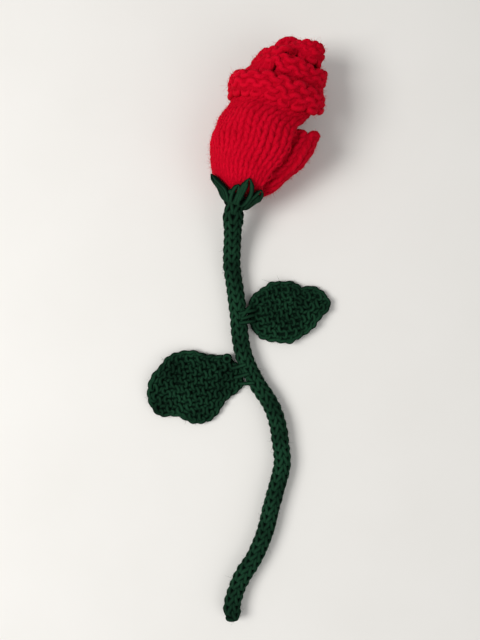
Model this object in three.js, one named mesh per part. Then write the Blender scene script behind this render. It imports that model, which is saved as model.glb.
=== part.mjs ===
// A knitted long-stemmed rose, lying on a table: four petals of stocking stitch with turned-down
// rims, wrapped round one another, five looped sepals, a knitted cord for a stem and two leaves.
// Millimetres. +Y runs along the stem to the bud, +Z is up from the table.
import * as THREE from "three";

const degrees = THREE.MathUtils.degToRad;
const { sin, cos, asin, abs, sqrt, min, max, round, PI } = Math;
const SQUARE = PI / 2;

// The knitted fabric, and the clear space between two layers that touch
const FABRIC = 3.0;
const GAP = 0.85;
const LAYER = FABRIC + GAP;

// The bud, measured to the outside of its outer petals
const BUD_BASE = new THREE.Vector3(-1.0, 57.4, 15.0);
const BUD_LEAN = degrees(20);
const BUD_HALF_WIDTH = 22.6;
const BUD_FRONT = 20.6;
const BUD_BACK = 17.6;
const BUD_RISE = 3.8;
const CUP_HEIGHT = 32;
const CUP_HOLE = 4.4;

// The waist, where the walls draw in under the front petal's cuff, and the mouth above it, where
// the inner petal opens again
const WAIST_SQUEEZE = 2.8;
const WAIST_START = 33;
const WAIST_LENGTH = 10;
const MOUTH_OPENING = 1.6;
const MOUTH_START = 46;
const MOUTH_LENGTH = 10;

// The rims: a fold, and a cuff that hangs down outside the wall
const FOLD_RADIUS = 1.75;
const CUFF_FLARE = 0.5;
const CUFF_EDGE = 43.2;
const CUFF_EDGE_RISE = 5;
const CUFF_RISES = [degrees(25), degrees(70)];
const TIER_GAP = 0.9;
const LEAST_CURL = 0.05;

// The height of each petal's fold above the bud's base, and how it rises towards the sides
const FRONT_HEIGHT = 54.8;
const FRONT_SIDE_RISE = 2.8;
const FRONT_TILT = 0.8;
const BACK_HEIGHT = 44.5;
const BACK_EDGE_DROP = 3;
const BACK_EDGE_TO = degrees(70);
const INNER_HEIGHT = 67;
const INNER_RIGHT_RISE = 3.5;
const INNER_RISES = [degrees(50), degrees(110)];
const INNER_LEFT_DROP = 1.5;
const INNER_DROPS = [degrees(200), degrees(270)];
const INNER_SEAM_RISE = 1.5;
const INNER_SEAM_FROM = degrees(290);
const CENTRE_HEIGHT = 80.5;

// The rolled centre, whose hidden inner end stands straight before its rim turns over
const CENTRE_CORE = 1.65;
const CENTRE_TO = degrees(200);
const CENTRE_STRAIGHT = degrees(20);
const CENTRE_TURNED = degrees(80);

// The sweep of the front petal: its right edge draws back above its foot, and comes forward again
// in the rim, between these stages
const FRONT_FROM = degrees(-125);
const FRONT_FOOT_TO = degrees(62);
const FRONT_WALL_TO = degrees(42);
const FRONT_RIM_TO = degrees(83);
const FRONT_FOOT_END = 0.6;
const FRONT_RIM_START = 1.3;
const FRONT_RIM_END = 2.1;

// The sweep of the back petal, whose edges tuck in under the front petal
const BACK_FROM = degrees(20);
const BACK_TO = degrees(250);
const TUCK_TURN = degrees(24);
const TUCK_CLEARANCE = degrees(10);

// The inner petal meets itself at a seam on the front
const INNER_FROM = degrees(-12);
const INNER_TO = degrees(342);

// The flap, where the back petal leans out on the right
const FLAP_LEAN = 7;
const FLAP_START = 27;
const FLAP_LENGTH = 16;
const FLAP_CURL = 0.35;
const FLAP_CUFF = 2;
const FLAP_RISES = [degrees(52), degrees(80)];
const FLAP_FALLS = [degrees(118), degrees(160)];

// How far the bud's middle swings to one side: towards the base, and towards the tip
const BASE_SWING = -2;
const BASE_SWING_LENGTH = 23;
const TIP_SWING = 5.5;
const TIP_SWING_START = 50;
const TIP_SWING_LENGTH = 34;

// The stem, a cord of five knitted columns, and its route along the middle
const STEM_RADIUS = 4.15;
const STEM_COLUMNS = 5;
const COLUMN_RELIEF = 0.35;
const COLUMN_FACETS = 3;
const STEM_TWIST = degrees(0.36);
const STEM_STEP = 3.4;
const STEM_FLARE = 1.5;
const STEM_FLARE_LENGTH = 9;
const STEM_NECK = 5;
const STEM_DROP = 0.97;
const STEM_END_SHARES = [0.04, 0.2, 0.55];
const STEM_ROUTE = [
  [-3.9, -148.2, 4.1], [-3.8, -140.1, 4.1], [0.2, -128.3, 4.1], [7.4, -116.4, 4.1],
  [12.3, -104.6, 4.1], [15.3, -92.8, 4.1], [18.3, -81.9, 4.1], [20.8, -71.0, 4.1],
  [20.2, -61.7, 4.1], [18.2, -49.8, 4.1], [14.8, -41.0, 4.1], [8.6, -31.6, 4.1],
  [4.6, -24.2, 4.1], [1.6, -16.3, 4.1], [0.0, -8.0, 4.1], [-0.7, 2.0, 4.1],
  [-2.4, 14.8, 4.3], [-4.0, 26.8, 5.4], [-3.6, 39.0, 8.4],
].map(([x, y, z]) => new THREE.Vector3(x, y, z));

// The sepals, each a loop of doubled yarn that lies on the cup
const SEPAL_YARN = 2.6;
const SEPAL_GAP = 0.5;
const SEPAL_STEPS = 18;
const SEPAL_SIDES = 6;

// Where each sepal's foot and tip lie round the bud, how far up the cup its tip is, and its half
// width; near the stem its foot hangs below the cup
const SEPALS = {
  sepal_left: { foot: degrees(-66), tip: degrees(-80), climb: degrees(40), half: 2.7 },
  sepal_front: { foot: degrees(33), tip: degrees(15), climb: degrees(43), half: 3.4 },
  sepal_right: { foot: degrees(86), tip: degrees(60), climb: degrees(39), half: 2.7 },
  sepal_back_right: { foot: degrees(140), tip: degrees(132), climb: degrees(40), half: 2.7 },
  sepal_back_left: { foot: degrees(196), tip: degrees(190), climb: degrees(40), half: 2.7 },
};
const SEPAL_STEM_GAP = 1.1;
const SEPAL_DROP = 0.8;
const SEPAL_DROP_TURN = degrees(12);

// The leaves: outline points to the tips of the edge stitches, going round to the left. Each x is
// measured from a line one stem radius to the leaf's side, so a leaf keeps its gap to the stem.
const LEAF_THICKNESS = 3.2;
const LEAF_CROWN = 1.2;
const LEAF_RIM_LIFT = 2.2;
const LEAF_LIFT_WIDTH = 30;
// Rings from the underside to the top: how large each is, and its share of the thickness
const LEAF_RINGS = [[0.95, 0], [1, 0.5], [0.95, 1], [0.72, 1], [0.38, 1]];
const SCALLOP_PITCH = 3.7;
const SCALLOP_DEPTH = 0.9;
const SCALLOP_FACETS = 3;
const LEFT_LEAF = [
  [4.35, -25.5], [-0.85, -19.0], [-10.75, -16.8], [-21.55, -15.3], [-32.45, -18.8], [-38.95, -27.2],
  [-41.85, -39.1], [-36.95, -47.0], [-27.75, -48.3], [-17.15, -51.5], [-7.75, -48.0], [-1.25, -38.6],
  [4.55, -32.7],
];
const RIGHT_LEAF = [
  [0.15, 5.5], [0.85, -2.5], [7.75, -9.9], [17.85, -11.2], [28.95, -7.9], [34.45, -0.8],
  [40.35, 7.4], [38.15, 13.8], [31.45, 16.9], [20.05, 19.1], [10.95, 18.3], [2.25, 12.4],
];

// How finely each form is cut into facets
const CUP_ROWS = 7;
const WALL_ROWS = 6;
const FOLD_ROWS = 6;
const CUFF_ROWS = 2;
const OUTER_FACET = degrees(11.5);
const INNER_FACET = degrees(12);
const CENTRE_FACET = degrees(20);
const NUDGE = 0.002;

const RED_YARN = { color: "#b0081d", roughness: 0.9, metalness: 0 };
const DEEP_RED_YARN = { color: "#96061a", roughness: 0.9, metalness: 0 };
const GREEN_YARN = { color: "#133021", roughness: 0.9, metalness: 0 };

const budAxis = new THREE.Vector3(sin(BUD_LEAN), cos(BUD_LEAN), 0);
const budAcross = new THREE.Vector3(cos(BUD_LEAN), -sin(BUD_LEAN), 0);
const up = new THREE.Vector3(0, 0, 1);
const mix = THREE.MathUtils.lerp;

// Rises smoothly from 0 at start to 1 at end
function ease(value, start, end) {
  return THREE.MathUtils.smoothstep(value, start, end);
}

// Faces of one closed body as a geometry
function closedBody(points, faces) {
  const geometry = new THREE.BufferGeometry();
  const flat = points.flatMap((point) => [point.x, point.y, max(point.z, 0)]);
  geometry.setAttribute("position", new THREE.Float32BufferAttribute(flat, 3));
  geometry.setIndex(faces.flat());
  geometry.computeVertexNormals();
  return geometry;
}

function named(name, geometry, yarn) {
  const mesh = new THREE.Mesh(geometry, new THREE.MeshStandardMaterial(yarn));
  mesh.name = name;
  return mesh;
}

// The point at an angle round the bud, 0 facing up and a right angle to the right side. half holds
// the section's half width and its depths to the front and the back.
function budPoint(angle, height, half) {
  const swing = BASE_SWING * (1 - ease(height, 0, BASE_SWING_LENGTH))
    + TIP_SWING * ease(height, TIP_SWING_START, TIP_SWING_START + TIP_SWING_LENGTH);
  const rise = BUD_RISE * ease(height, 0, CUP_HEIGHT) + (half.lift ?? 0);
  const depth = mix(half.back, half.front, (1 + cos(angle)) / 2);
  return BUD_BASE.clone()
    .addScaledVector(budAxis, height)
    .addScaledVector(budAcross, swing + half.side * sin(angle))
    .addScaledVector(up, rise + depth * cos(angle));
}

// A section of the bud's outline drawn in by inset, scaled by grow, then let out by proud
function outline(inset, grow = 1, proud = 0) {
  return {
    side: (BUD_HALF_WIDTH - inset) * grow + proud,
    front: (BUD_FRONT - inset) * grow + proud,
    back: (BUD_BACK - inset) * grow + proud,
  };
}

// A point on the cup at the bud's base; turn goes from 0 on the axis to a right angle at the rim
function cupPoint(angle, turn, inset) {
  const height = CUP_HEIGHT - (CUP_HEIGHT - inset) * cos(turn);
  return budPoint(angle, height, outline(inset, sin(turn)));
}

// A petal's stages, from its foot to the edge of its cuff: cup 0-1, wall 1-2, fold 2-3, cuff 3-4
function petalPoint(petal, angle, stage) {
  const inset = petal.inset(angle, stage);
  if (stage < 1) return cupPoint(angle, mix(footTurn(inset), SQUARE, stage), inset);
  const climb = mix(CUP_HEIGHT, foldStart(petal, angle), min(stage - 1, 1));
  const drawn = inset + WAIST_SQUEEZE * ease(climb, WAIST_START, WAIST_START + WAIST_LENGTH)
    - petal.opening * ease(climb, MOUTH_START, MOUTH_START + MOUTH_LENGTH);
  return turnOver(petal, angle, stage, climb, (proud) => outline(drawn, 1, proud));
}

// The turn on the cup at which a petal's foot stands clear of the stem
function footTurn(inset) {
  return asin(CUP_HOLE / (BUD_HALF_WIDTH - inset));
}

function foldStart(petal, angle) {
  return petal.height(angle) - FABRIC / 2 - FOLD_RADIUS;
}

// The fold and the cuff that hangs from it, outside the wall that ends at climb
function turnOver(petal, angle, stage, climb, section) {
  const curl = petal.curl(angle);
  const turn = PI * curl * THREE.MathUtils.clamp(stage - 2, 0, 1);
  const length = petal.cuff(angle) * curl;
  const share = max(stage - 3, 0);
  const proud = FOLD_RADIUS * (1 - cos(turn)) + share * (length * sin(turn) + CUFF_FLARE * curl);
  const height = climb + FOLD_RADIUS * sin(turn) + share * length * cos(turn);
  return budPoint(angle, height, section(proud + petal.lean(angle, climb)));
}

// The tightly rolled centre: a straight roll that stands inside the inner petal
function rollPoint(petal, angle, stage) {
  const climb = mix(centreFoot, foldStart(petal, angle), min(stage / 2, 1));
  const radius = centreOuter - (LAYER * (CENTRE_TO - angle)) / (2 * PI);
  const section = (proud) => {
    const half = radius + proud;
    return { side: half, front: half, back: half, lift: centreLift };
  };
  return turnOver(petal, angle, stage, climb, section);
}

const innerInset = FABRIC / 2 + 2 * LAYER;
const innerMouth = outline(innerInset + WAIST_SQUEEZE - MOUTH_OPENING);
const centreLift = (innerMouth.front - innerMouth.back) / 2;
const centreOuter = (innerMouth.front + innerMouth.back - GAP) / 2 - FABRIC;
const centreTurns = (centreOuter - CENTRE_CORE) / LAYER;
const centreFrom = CENTRE_TO - 2 * PI * centreTurns;
const centreFoot = MOUTH_START + MOUTH_LENGTH;

const frontTo = (stage) => FRONT_WALL_TO
  + (FRONT_FOOT_TO - FRONT_WALL_TO) * (1 - ease(stage, 0, FRONT_FOOT_END))
  + (FRONT_RIM_TO - FRONT_WALL_TO) * ease(stage, FRONT_RIM_START, FRONT_RIM_END);
const frontHeight = (angle) => FRONT_HEIGHT + FRONT_SIDE_RISE * (1 - cos(angle))
  + FRONT_TILT * sin(angle);
const frontCuffEdge = (angle) => CUFF_EDGE + CUFF_EDGE_RISE * ease(angle, ...CUFF_RISES);

// How far the back petal lies a layer further in, where the front petal covers it
const tuckUnderFront = (angle, stage) => {
  const spread = TUCK_TURN * (2 - min(stage, 1));
  const right = frontTo(min(stage, 1)) + TUCK_CLEARANCE;
  const left = FRONT_FROM + 2 * PI - TUCK_CLEARANCE;
  return 1 - ease(angle, right, right + spread) * (1 - ease(angle, left - spread, left));
};
const flapShare = (angle) => ease(angle, ...FLAP_RISES) * (1 - ease(angle, ...FLAP_FALLS));

const innerHeight = (angle) => INNER_HEIGHT
  + INNER_RIGHT_RISE * ease(angle, ...INNER_RISES)
  - INNER_LEFT_DROP * ease(angle, ...INNER_DROPS)
  + INNER_SEAM_RISE * ease(angle, INNER_SEAM_FROM, INNER_TO);
const innerPeak = INNER_HEIGHT + INNER_RIGHT_RISE;

const petals = [
  {
    name: "petal_front",
    yarn: RED_YARN,
    from: () => FRONT_FROM,
    to: frontTo,
    inset: () => FABRIC / 2,
    opening: 0,
    height: frontHeight,
    curl: () => 1,
    cuff: (angle) => foldStart(petals[0], angle) - frontCuffEdge(angle),
    lean: () => 0,
    facet: OUTER_FACET,
  },
  {
    name: "petal_back",
    yarn: RED_YARN,
    from: () => BACK_FROM,
    to: () => BACK_TO,
    inset: (angle, stage) => FABRIC / 2 + LAYER * tuckUnderFront(angle, stage),
    opening: 0,
    height: (angle) => BACK_HEIGHT - BACK_EDGE_DROP * (1 - ease(angle, BACK_FROM, BACK_EDGE_TO)),
    curl: (angle) => mix(LEAST_CURL, FLAP_CURL, flapShare(angle)),
    cuff: () => FLAP_CUFF,
    lean: (angle, climb) => FLAP_LEAN * flapShare(angle)
      * ease(climb, FLAP_START, FLAP_START + FLAP_LENGTH),
    facet: OUTER_FACET,
  },
  {
    name: "petal_inner",
    yarn: DEEP_RED_YARN,
    from: () => INNER_FROM,
    to: () => INNER_TO,
    inset: () => innerInset,
    opening: MOUTH_OPENING,
    height: innerHeight,
    curl: () => 1,
    cuff: (angle) => foldStart(petals[2], angle) - (frontHeight(angle) + TIER_GAP),
    lean: () => 0,
    facet: INNER_FACET,
  },
  {
    name: "petal_centre",
    yarn: DEEP_RED_YARN,
    from: () => centreFrom,
    to: () => CENTRE_TO,
    height: () => CENTRE_HEIGHT,
    curl: (angle) => mix(LEAST_CURL, 1,
      ease(angle, centreFrom + CENTRE_STRAIGHT, centreFrom + CENTRE_TURNED)),
    cuff: (angle) => foldStart(petals[3], angle) - (innerPeak + TIER_GAP),
    lean: () => 0,
    facet: CENTRE_FACET,
    point: rollPoint,
  },
];

// The stages at which a petal's rows of facets lie
function petalStages() {
  const stages = [0];
  [CUP_ROWS, WALL_ROWS, FOLD_ROWS, CUFF_ROWS].forEach((rows, stage) => {
    for (let row = 1; row <= rows; row++) stages.push(stage + row / rows);
  });
  return stages;
}

// A petal's thick sheet: its middle surface, moved out and in by half the fabric
function petalGeometry(petal) {
  const point = petal.point ?? petalPoint;
  const middle = (share, stage) => {
    const kept = THREE.MathUtils.clamp(stage, 0, 4);
    return point(petal, mix(petal.from(kept), petal.to(kept), share), kept);
  };
  const stages = petalStages();
  const columns = round((petal.to(2) - petal.from(2)) / petal.facet);
  const outer = [];
  const inner = [];
  stages.forEach((stage) => {
    for (let column = 0; column <= columns; column++) {
      const share = column / columns;
      const along = middle(share + NUDGE, stage).sub(middle(share - NUDGE, stage));
      const upward = middle(share, stage + NUDGE).sub(middle(share, stage - NUDGE));
      const normal = along.cross(upward).normalize();
      const centre = middle(share, stage);
      outer.push(centre.clone().addScaledVector(normal, FABRIC / 2));
      inner.push(centre.addScaledVector(normal, -FABRIC / 2));
    }
  });
  return closedBody([...outer, ...inner], sheetFaces(columns, stages.length - 1, outer.length));
}

// The two sides of a sheet of columns by rows, and the wall round its edge
function sheetFaces(columns, rows, back) {
  const faces = [];
  const at = (column, row) => row * (columns + 1) + column;
  const quad = (a, b, c, d) => faces.push([a, b, c], [a, c, d]);
  for (let row = 0; row < rows; row++) {
    for (let column = 0; column < columns; column++) {
      const [a, b] = [at(column, row), at(column + 1, row)];
      const [c, d] = [at(column + 1, row + 1), at(column, row + 1)];
      quad(a, b, c, d);
      quad(back + d, back + c, back + b, back + a);
    }
  }
  for (let row = 0; row < rows; row++) {
    const [left, leftNext] = [at(0, row), at(0, row + 1)];
    const [right, rightNext] = [at(columns, row), at(columns, row + 1)];
    quad(left, leftNext, back + leftNext, back + left);
    quad(rightNext, right, back + right, back + rightNext);
  }
  for (let column = 0; column < columns; column++) {
    const [foot, footNext] = [at(column, 0), at(column + 1, 0)];
    const [edge, edgeNext] = [at(column, rows), at(column + 1, rows)];
    quad(foot, back + foot, back + footNext, footNext);
    quad(edgeNext, back + edgeNext, back + edge, edge);
  }
  return faces;
}

// A body through rings of points, closed at both ends to a point, or joined end to end
function loftFaces(rings, sides, joined) {
  const faces = [];
  const spans = joined ? rings : rings - 1;
  for (let ring = 0; ring < spans; ring++) {
    const [here, next] = [ring * sides, ((ring + 1) % rings) * sides];
    for (let side = 0; side < sides; side++) {
      const turn = (side + 1) % sides;
      faces.push([here + side, here + turn, next + turn], [here + side, next + turn, next + side]);
    }
  }
  if (!joined) {
    const [first, last, end] = [rings * sides, rings * sides + 1, (rings - 1) * sides];
    for (let side = 0; side < sides; side++) {
      const turn = (side + 1) % sides;
      faces.push([first, turn, side], [last, end + side, end + turn]);
    }
  }
  return faces;
}

// The stem: its columns run round a section that follows the route and turns slowly
function stemGeometry() {
  const neck = BUD_BASE.clone().addScaledVector(budAxis, -STEM_NECK);
  const foot = cupPoint(0, footTurn(FABRIC / 2), FABRIC / 2).sub(BUD_BASE).dot(budAxis);
  const top = BUD_BASE.clone().addScaledVector(budAxis, foot - STEM_DROP);
  const route = new THREE.CatmullRomCurve3([...STEM_ROUTE, neck, top], false, "centripetal");
  const length = route.getLength();
  const steps = round(length / STEM_STEP);
  const ends = STEM_END_SHARES.map((share) => (share * STEM_RADIUS) / length);
  const middles = Array.from({ length: steps - 2 }, (_, step) => (step + 1.5) / steps);
  const places = [...ends, ...middles, ...ends.map((place) => 1 - place).reverse()];
  const sides = STEM_COLUMNS * COLUMN_FACETS;
  const points = [];
  places.forEach((place) => {
    const middle = route.getPointAt(place);
    const tangent = route.getTangentAt(place);
    const side = tangent.clone().cross(up).normalize();
    const over = side.clone().cross(tangent);
    const fromEnd = min(place, 1 - place) * length;
    const rounding = sqrt(max(0, 1 - (1 - min(fromEnd / STEM_RADIUS, 1)) ** 2));
    const flare = STEM_FLARE * ease(place * length, length - STEM_FLARE_LENGTH, length);
    for (let facet = 0; facet < sides; facet++) {
      const angle = (2 * PI * facet) / sides;
      const relief = COLUMN_RELIEF * cos(STEM_COLUMNS * angle);
      const radius = (STEM_RADIUS + flare + relief) * rounding;
      const turn = angle + STEM_TWIST * place * length;
      points.push(middle.clone()
        .addScaledVector(side, radius * sin(turn))
        .addScaledVector(over, radius * cos(turn)));
    }
  });
  points.push(route.getPointAt(0), route.getPointAt(1));
  return closedBody(points, loftFaces(places.length, sides, false));
}

const sepalInset = -(SEPAL_YARN / 2 + SEPAL_GAP);
const stemTopReach = STEM_RADIUS + STEM_FLARE + COLUMN_RELIEF;
const sepalFoot = asin(
  (stemTopReach + SEPAL_STEM_GAP + SEPAL_YARN / 2) / (BUD_HALF_WIDTH - sepalInset));

// A point on the line that a sepal follows, out over the cup or down beside the stem
function sepalPoint(angle, climb, inset) {
  const drop = SEPAL_DROP * (1 - ease(climb, sepalFoot, sepalFoot + SEPAL_DROP_TURN));
  return cupPoint(angle, climb, inset).addScaledVector(budAxis, -drop);
}

// A sepal: a long loop of yarn
function sepalGeometry(sepal) {
  const laid = (share, inset) => {
    const reach = (1 - cos(2 * PI * share)) / 2;
    const climb = mix(sepalFoot, sepal.climb, reach);
    const beside = sepal.half * sin(2 * PI * share);
    const around = beside / ((BUD_HALF_WIDTH - inset) * sin(climb));
    return sepalPoint(mix(sepal.foot, sepal.tip, reach) + around, climb, inset);
  };
  const loop = (share) => laid(share, sepalInset);
  const lift = (share) => laid(share, sepalInset - 1).sub(loop(share)).normalize();
  const points = [];
  for (let step = 0; step < SEPAL_STEPS; step++) {
    const share = step / SEPAL_STEPS;
    const tangent = loop(share + NUDGE).sub(loop(share - NUDGE)).normalize();
    const beside = tangent.clone().cross(lift(share)).normalize();
    const over = beside.clone().cross(tangent);
    for (let side = 0; side < SEPAL_SIDES; side++) {
      const turn = (2 * PI * side) / SEPAL_SIDES;
      points.push(loop(share)
        .addScaledVector(beside, (SEPAL_YARN / 2) * sin(turn))
        .addScaledVector(over, (SEPAL_YARN / 2) * cos(turn)));
    }
  }
  return closedBody(points, loftFaces(SEPAL_STEPS, SEPAL_SIDES, true));
}

// A leaf: a flat underside, a scalloped edge of stitches, and a top that rises by lift
function leafGeometry(corners, side, lift) {
  const outlineCurve = new THREE.CatmullRomCurve3(
    corners.map(([x, y]) => new THREE.Vector3(x + side * STEM_RADIUS, y, 0)), true, "centripetal");
  const length = outlineCurve.getLength();
  const scallops = round(length / SCALLOP_PITCH);
  const sides = scallops * SCALLOP_FACETS;
  const edge = [];
  for (let facet = 0; facet < sides; facet++) {
    const share = facet / sides;
    const inward = outlineCurve.getTangentAt(share).cross(up).normalize();
    const dip = SCALLOP_DEPTH * (1 - abs(sin(PI * scallops * share)));
    edge.push(outlineCurve.getPointAt(share).addScaledVector(inward, dip));
  }
  const centre = edge.reduce((sum, point) => sum.add(point), new THREE.Vector3())
    .divideScalar(sides);
  const points = LEAF_RINGS.flatMap(([scale, share]) => edge.map((point) => {
    const flat = new THREE.Vector3().lerpVectors(centre, point, scale);
    return flat.setZ(LEAF_THICKNESS * share + (share === 1 ? lift(scale, flat) : 0));
  }));
  points.push(centre.clone(), centre.clone().setZ(LEAF_THICKNESS + lift(0, centre)));
  return closedBody(points, loftFaces(LEAF_RINGS.length, sides, false));
}

const crowned = (scale) => LEAF_CROWN * (1 - scale ** 2);
const dished = (scale, point) => LEAF_RIM_LIFT * scale ** 3
  * ease(point.x - point.y, 0, LEAF_LIFT_WIDTH);

const rose = new THREE.Group();
petals.forEach((petal) => rose.add(named(petal.name, petalGeometry(petal), petal.yarn)));
Object.entries(SEPALS).forEach(([name, sepal]) => {
  rose.add(named(name, sepalGeometry(sepal), GREEN_YARN));
});
rose.add(named("stem", stemGeometry(), GREEN_YARN));
rose.add(named("leaf_left", leafGeometry(LEFT_LEAF, -1, crowned), GREEN_YARN));
rose.add(named("leaf_right", leafGeometry(RIGHT_LEAF, 1, dished), GREEN_YARN));

// The origin is on the table, under the middle of the rose's box
const box = new THREE.Box3().setFromObject(rose);
const middle = box.getCenter(new THREE.Vector3());
rose.position.set(-middle.x, -middle.y, -box.min.z);
rose.updateMatrixWorld(true);

export default rose;
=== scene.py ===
# %% [markdown]
# # A knitted long-stemmed rose
# The real thing is knitted from worsted-weight acrylic yarn: four red petals in stocking stitch,
# wrapped round one another with their rims turned down, a stem knitted as a round cord, two leaves
# in garter stitch, and five sepals sewn as loops of green yarn.
#
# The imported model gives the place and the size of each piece. It can't show stitches, so every
# piece is replaced here by the thread that it is really made of. One way would be a smooth sheet
# with a bump pattern, but a bump keeps a smooth outline and throws no shadow between stitches.
# Thread has both, so each cloth is drawn as a real path of yarn that is swept into a round tube.

import bpy
import numpy as np
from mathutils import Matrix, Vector


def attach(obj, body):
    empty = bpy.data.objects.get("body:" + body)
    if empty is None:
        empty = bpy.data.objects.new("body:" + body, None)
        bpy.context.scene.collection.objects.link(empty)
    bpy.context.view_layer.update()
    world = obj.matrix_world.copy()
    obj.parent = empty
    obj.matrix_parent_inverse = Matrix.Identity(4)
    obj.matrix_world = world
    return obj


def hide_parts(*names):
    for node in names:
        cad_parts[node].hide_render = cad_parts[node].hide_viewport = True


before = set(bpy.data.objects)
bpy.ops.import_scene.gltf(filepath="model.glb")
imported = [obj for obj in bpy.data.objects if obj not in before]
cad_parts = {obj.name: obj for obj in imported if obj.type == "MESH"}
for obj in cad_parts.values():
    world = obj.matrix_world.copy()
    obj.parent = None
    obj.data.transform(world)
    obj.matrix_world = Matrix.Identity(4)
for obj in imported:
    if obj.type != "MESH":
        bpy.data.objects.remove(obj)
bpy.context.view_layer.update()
print("nodes to dress:", sorted(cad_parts))

# %% [markdown]
# ## Camera
# The photograph looks straight down on the rose, with the bud at the top. The camera stands 320 mm
# over the table, where a lens as long as its sensor takes in 240 by 320 mm of the table top. The
# middle of the view is a little off the middle of the rose's box. Every place on the rose is
# measured from the middle of the view, in millimetres.

# %% Camera over the table
MM = 0.001
CAMERA_HEIGHT = 320 * MM
SENSOR_WIDTH = 36
VIEW_MIDDLE = np.array([0.849, 7.687, 0.0])
AIM = Vector(VIEW_MIDDLE * MM)

lens = bpy.data.cameras.new("overhead")
lens.sensor_width = SENSOR_WIDTH
lens.lens = SENSOR_WIDTH
camera = bpy.data.objects.new("overhead", lens)
camera.location = AIM + Vector((0, 0, CAMERA_HEIGHT))
bpy.context.scene.collection.objects.link(camera)
bpy.context.scene.camera = camera
print("camera at", [round(x, 4) for x in camera.location])

# %% [markdown]
# ## Colours and nodes
# Colours are noted the way a paint shop notes them, as hex values, and Blender mixes light in
# linear numbers. One function turns the first into the second, by the curve of the sRGB standard.
# Another gives the scale of a pattern from its real size, and a third adds a node to a material
# with its settings and links, so that a material below reads as a list of its parts.

# %% Three small helpers for materials


def paint(code):
    """A hex colour as linear red, green, blue and full opacity."""
    parts = [int(code[i : i + 2], 16) / 255 for i in (1, 3, 5)]
    return [c / 12.92 if c <= 0.04045 else ((c + 0.055) / 1.055) ** 2.4 for c in parts] + [1]


def spots(count, span):
    """The scale of a pattern that has so many spots to a span of so many millimetres."""
    return count / (span * MM)


def add(material, kind, settings=None, **sockets):
    """Add a node; settings are its own properties, sockets its values or incoming links."""
    tree = material.node_tree
    node = tree.nodes.new(kind)
    for name, value in (settings or {}).items():
        setattr(node, name, value)
    for name, value in sockets.items():
        key = int(name[1:]) if name[1:].isdigit() else name.replace("_", " ")
        if isinstance(value, bpy.types.NodeSocket):
            tree.links.new(value, node.inputs[key])
        else:
            node.inputs[key].default_value = value
    return node


# %% [markdown]
# ## Floor and light
# The rose lies on a plain pale floor. The photograph's light is soft and comes from the upper left,
# so its shadows fall to the right. A large lamp there gives the form, and a second on the other
# side with a pale world keeps the shadows open, as in a room.

# %% Floor


def blank_material(name):
    """A new material with an empty node tree."""
    material = bpy.data.materials.new(name)
    material.use_nodes = True
    material.node_tree.nodes.clear()
    return material


def pale_card():
    """Matt pale card, with the faint mottle that tells the eye it isn't an empty background."""
    card = blank_material("pale card")
    mottle = add(card, "ShaderNodeTexNoise", Scale=spots(3, 50), Detail=3.0)
    tone = add(
        card, "ShaderNodeMix", {"data_type": "RGBA"},
        _0=mottle.outputs["Fac"], _6=paint("#dedbd5"), _7=paint("#e4e1dc"),
    )
    matt = add(card, "ShaderNodeBsdfPrincipled", Base_Color=tone.outputs[2], Roughness=0.85)
    add(card, "ShaderNodeOutputMaterial", Surface=matt.outputs[0])
    return card


FLOOR_WIDTH = 3.2
FLOOR_CORNERS = ((-0.5, -0.5), (0.5, -0.5), (0.5, 0.5), (-0.5, 0.5))
floor_mesh = bpy.data.meshes.new("floor")
floor_mesh.from_pydata(
    [(x * FLOOR_WIDTH, y * FLOOR_WIDTH, 0) for x, y in FLOOR_CORNERS], [], [(0, 1, 2, 3)]
)
floor_mesh.materials.append(pale_card())
floor = bpy.data.objects.new("floor", floor_mesh)
bpy.context.scene.collection.objects.link(floor)
print("floor", FLOOR_WIDTH, "m wide")

# %% Lamps and world


def lamp(name, place, size, watts):
    """A square soft lamp that looks at the rose, its place and its size in metres."""
    light = bpy.data.lights.new(name, "AREA")
    light.size = size
    light.energy = watts
    holder = bpy.data.objects.new(name, light)
    holder.location = place
    holder.rotation_euler = (AIM - Vector(place)).to_track_quat("-Z", "Y").to_euler()
    bpy.context.scene.collection.objects.link(holder)


lamp("window", (-0.62, -0.02, 0.72), 0.45, 7.6)
lamp("room", (0.7, -0.5, 0.8), 0.9, 3.0)

ROOM_GLOW = 0.45
world = bpy.data.worlds.new("pale room")
world.use_nodes = True
glow = world.node_tree.nodes["Background"]
glow.inputs["Color"].default_value = paint("#f2f4f6")
glow.inputs["Strength"].default_value = ROOM_GLOW
bpy.context.scene.world = world
bpy.context.scene.view_settings.view_transform = "Standard"
print("two lamps and a pale world")

# %% [markdown]
# ## Yarn
# The yarn is worsted-weight acrylic: four plies of crimped fibre, spun soft and dyed in the mass.
# To the eye it is matt from every side. Its colour holds painted shade: full on the crest of a
# thread and painted deep on its flanks, where shade falls between the fibres. The plies could be
# four thin threads twisted together, but that takes four times the faces for grooves about a pixel
# wide. A bump along the thread's own coordinates gives the same grooves for nothing.
#
# The thread's coordinates go round it from 0 to 1 and along it in millimetres. The crimp of real
# fibre is about 0.2 mm, too fine to show, so it is drawn three times as coarse. The dye takes a
# little unevenly, in patches of about 11 mm on the yarn and 3 mm on the loose fibres.

# %% Soft spun yarn
PLIES = 4
TWIST = 7.0
CRIMP = spots(3, 2)
CRIMP_HEIGHT = 0.8
PLY_DEPTH = 0.25 * MM
DYE_PATCHES = spots(9, 100)
# Below FLANK a thread takes its colour in painted shade, above CREST its full colour.
FLANK, CREST = 0.08, 0.6


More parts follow.
